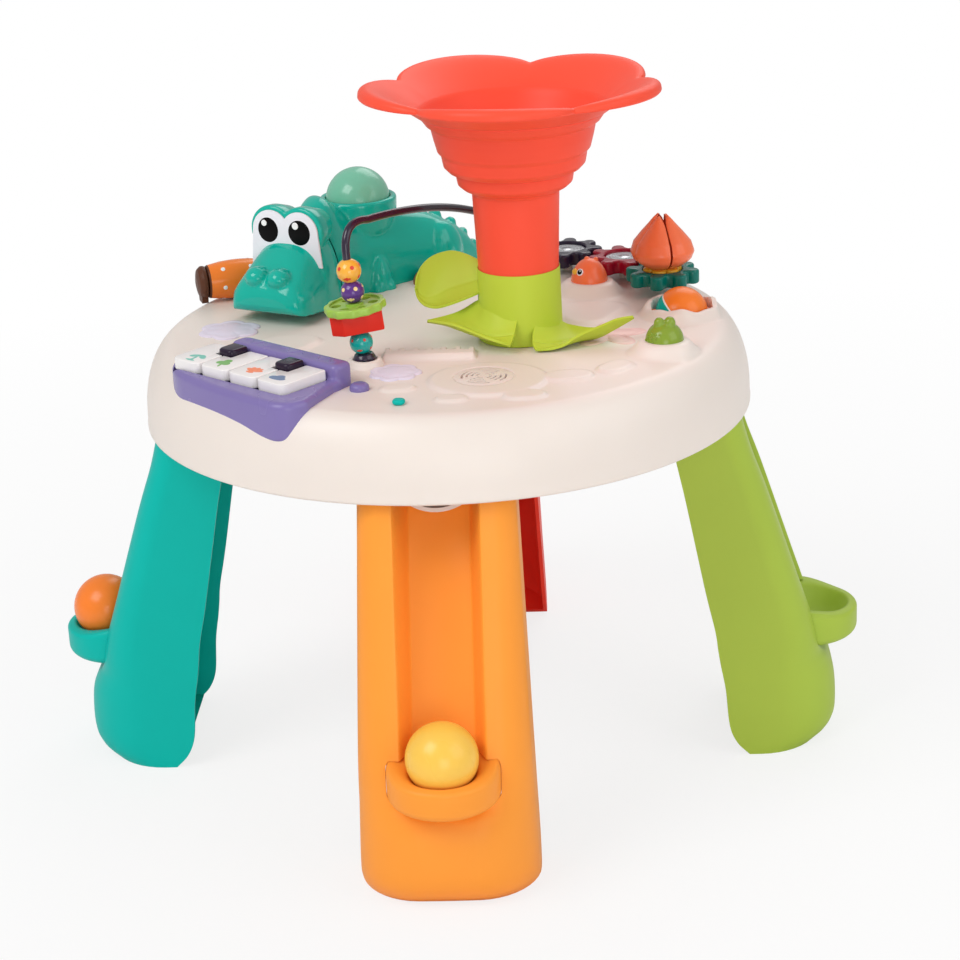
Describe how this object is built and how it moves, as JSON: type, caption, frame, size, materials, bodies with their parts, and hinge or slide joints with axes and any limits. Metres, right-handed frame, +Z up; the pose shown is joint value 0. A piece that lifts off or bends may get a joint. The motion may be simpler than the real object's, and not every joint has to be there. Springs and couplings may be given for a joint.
{
  "type": "musical activity table",
  "caption": "Round toddler activity table on splayed ball-ramp legs: flower funnel, crocodile drum, bead wire, keyboard, gears, press buttons and rollers.",
  "frame": {"origin": "centre of the bounding box at the level of the four soles", "axes": "+Z up; -Y towards the child at the front leg; +X towards the right leg"},
  "size_m": [0.614, 0.614, 0.52],
  "materials": {
    "cream": "smooth satin",
    "orange": "smooth gloss",
    "red": "smooth gloss",
    "moss": "smooth gloss",
    "teal": "smooth gloss",
    "coral": "smooth gloss",
    "leaf": "satin",
    "glossy_teal": "high gloss",
    "yellow": "high gloss",
    "ball_orange": "high gloss",
    "mint": "high gloss",
    "lilac": "satin",
    "ivory": "smooth gloss",
    "plum": "smooth gloss",
    "pine": "smooth gloss",
    "maroon": "smooth gloss",
    "navy": "smooth gloss",
    "silver": "silver paint",
    "bud_coral": "smooth gloss",
    "amber": "smooth gloss",
    "olive": "smooth gloss",
    "brown": "satin",
    "purple": "smooth gloss",
    "black": "matt",
    "board": "lacquered board",
    "cell": "printed sleeve"
  },
  "bodies": {
    "table": {"back_dome": "brown", "barrel_post_left": "brown", "barrel_post_right": "brown", "battery_1": "cell", "battery_2": "cell", "battery_3": "cell", "bead_wire": "plum", "circuit_board": "board", "croc_body": "glossy_teal", "cup_back": "red", "cup_front": "orange", "cup_left": "teal", "cup_right": "moss", "keyboard_case": "lilac", "leaf_collar": "leaf", "leg_back": "red", "leg_front": "orange", "leg_left": "teal", "leg_right": "moss", "speaker": "black", "table_base": "cream", "table_top": "cream"},
    "flower": {"flower": "coral", "ball_guide": "coral"},
    "ball_yellow": {"ball_yellow": "yellow"},
    "ball_orange": {"ball_orange": "ball_orange"},
    "ball_mint": {"ball_mint": "mint"},
    "croc_head": {"croc_head": "glossy_teal", "croc_eyes": "ivory"},
    "bead_teal": {"bead_teal": "teal"},
    "bead_block": {"bead_block": "red"},
    "bead_wheel": {"bead_wheel": "moss"},
    "bead_purple": {"bead_purple": "purple"},
    "bead_yellow": {"bead_yellow": "amber"},
    "fish_button": {"fish_button": "bud_coral"},
    "frog_button": {"frog_button": "olive"},
    "roller": {"roller": "ball_orange"},
    "gear_teal": {"gear_teal": "pine", "bud_calyx": "amber", "flower_bud": "bud_coral"},
    "gear_maroon": {"gear_maroon": "maroon", "gear_maroon_disc": "silver"},
    "gear_navy": {"gear_navy": "navy", "gear_navy_disc": "silver"},
    "barrel": {"barrel_roller": "ball_orange"},
    "mode_switch": {"mode_switch": "teal"},
    "battery_door": {"battery_door": "cream"},
    "white_key_1": {"white_key_1": "ivory"},
    "white_key_2": {"white_key_2": "ivory"},
    "white_key_3": {"white_key_3": "ivory"},
    "white_key_4": {"white_key_4": "ivory"},
    "dark_key_1": {"dark_key_1": "plum"},
    "dark_key_2": {"dark_key_2": "plum"}
  },
  "joints": [
    {"name": "flower_turn", "type": "hinge", "parent": "table", "child": "flower", "pos_m": [0.057, -0.033, 0.33], "axis": [0, 0, 1], "continuous": true},
    {"name": "ball_yellow_lift", "type": "slide", "parent": "table", "child": "ball_yellow", "axis": [0, 0, 1], "range_m": [0, 0.08]},
    {"name": "ball_orange_lift", "type": "slide", "parent": "table", "child": "ball_orange", "axis": [0, 0, 1], "range_m": [0, 0.08]},
    {"name": "ball_mint_lift", "type": "slide", "parent": "table", "child": "ball_mint", "axis": [0, 0, 1], "range_m": [0, 0.08]},
    {"name": "croc_head_press", "type": "slide", "parent": "table", "child": "croc_head", "axis": [0, 0, -1], "range_m": [0, 0.003], "stiffness_N_per_m": 400, "springref_m": -0.003},
    {"name": "bead_teal_spin", "type": "hinge", "parent": "table", "child": "bead_teal", "pos_m": [-0.0528, -0.092, 0.33], "axis": [-0.108, 0, 0.9942], "continuous": true},
    {"name": "bead_block_spin", "type": "hinge", "parent": "table", "child": "bead_block", "pos_m": [-0.0528, -0.092, 0.33], "axis": [-0.108, 0, 0.9942], "continuous": true},
    {"name": "bead_wheel_spin", "type": "hinge", "parent": "table", "child": "bead_wheel", "pos_m": [-0.0528, -0.092, 0.33], "axis": [-0.108, 0, 0.9942], "continuous": true},
    {"name": "bead_purple_spin", "type": "hinge", "parent": "table", "child": "bead_purple", "pos_m": [-0.0528, -0.092, 0.33], "axis": [-0.108, 0, 0.9942], "continuous": true},
    {"name": "bead_yellow_spin", "type": "hinge", "parent": "table", "child": "bead_yellow", "pos_m": [-0.0528, -0.092, 0.33], "axis": [-0.108, 0, 0.9942], "continuous": true},
    {"name": "fish_press", "type": "slide", "parent": "table", "child": "fish_button", "axis": [0, 0, -1], "range_m": [0, 0.003], "stiffness_N_per_m": 200, "springref_m": -0.003},
    {"name": "frog_press", "type": "slide", "parent": "table", "child": "frog_button", "axis": [0, 0, -1], "range_m": [0, 0.003], "stiffness_N_per_m": 200, "springref_m": -0.003},
    {"name": "white_key_1_press", "type": "hinge", "parent": "table", "child": "white_key_1", "pos_m": [-0.15119, -0.08112, 0.3357], "axis": [0.766, -0.6428, 0], "range_deg": [0, 3], "stiffness_Nm_per_rad": 0.5, "springref_deg": -5.73},
    {"name": "white_key_2_press", "type": "hinge", "parent": "table", "child": "white_key_2", "pos_m": [-0.12928, -0.0995, 0.3357], "axis": [0.766, -0.6428, 0], "range_deg": [0, 3], "stiffness_Nm_per_rad": 0.5, "springref_deg": -5.73},
    {"name": "white_key_3_press", "type": "hinge", "parent": "table", "child": "white_key_3", "pos_m": [-0.10738, -0.11789, 0.3357], "axis": [0.766, -0.6428, 0], "range_deg": [0, 3], "stiffness_Nm_per_rad": 0.5, "springref_deg": -5.73},
    {"name": "white_key_4_press", "type": "hinge", "parent": "table", "child": "white_key_4", "pos_m": [-0.08547, -0.13627, 0.3357], "axis": [0.766, -0.6428, 0], "range_deg": [0, 3], "stiffness_Nm_per_rad": 0.5, "springref_deg": -5.73},
    {"name": "dark_key_1_press", "type": "hinge", "parent": "table", "child": "dark_key_1", "pos_m": [-0.14024, -0.09031, 0.3357], "axis": [0.766, -0.6428, 0], "range_deg": [0, 6], "stiffness_Nm_per_rad": 0.5, "springref_deg": -5.73},
    {"name": "dark_key_2_press", "type": "hinge", "parent": "table", "child": "dark_key_2", "pos_m": [-0.09642, -0.12708, 0.3357], "axis": [0.766, -0.6428, 0], "range_deg": [0, 6], "stiffness_Nm_per_rad": 0.5, "springref_deg": -5.73},
    {"name": "gear_teal_turn", "type": "hinge", "parent": "table", "child": "gear_teal", "pos_m": [0.164, 0.068, 0.33], "axis": [0, 0, 1], "continuous": true},
    {"name": "gear_maroon_turn", "type": "hinge", "parent": "table", "child": "gear_maroon", "pos_m": [0.13552, 0.1127, 0.33], "axis": [0, 0, 1], "continuous": true},
    {"name": "gear_navy_turn", "type": "hinge", "parent": "table", "child": "gear_navy", "pos_m": [0.09058, 0.14079, 0.33], "axis": [0, 0, 1], "continuous": true},
    {"name": "roller_turn", "type": "hinge", "parent": "table", "child": "roller", "pos_m": [0.176, 0.01, 0.331], "axis": [1, 0, 0], "continuous": true},
    {"name": "barrel_turn", "type": "hinge", "parent": "table", "child": "barrel", "pos_m": [-0.168, 0.092, 0.3456], "axis": [0.9397, 0.342, 0], "continuous": true},
    {"name": "mode_switch_slide", "type": "slide", "parent": "table", "child": "mode_switch", "axis": [0.9925, -0.1219, 0], "range_m": [0, 0.008]},
    {"name": "battery_door_open", "type": "hinge", "parent": "table", "child": "battery_door", "pos_m": [-0.12093, -0.07907, 0.2774], "axis": [0.7071, 0.7071, 0], "range_deg": [0, 95]}
  ],
  "couplings": [
    {"joint": "gear_maroon_turn", "follows": "gear_teal_turn", "ratio": -1},
    {"joint": "gear_navy_turn", "follows": "gear_teal_turn", "ratio": 1}
  ]
}
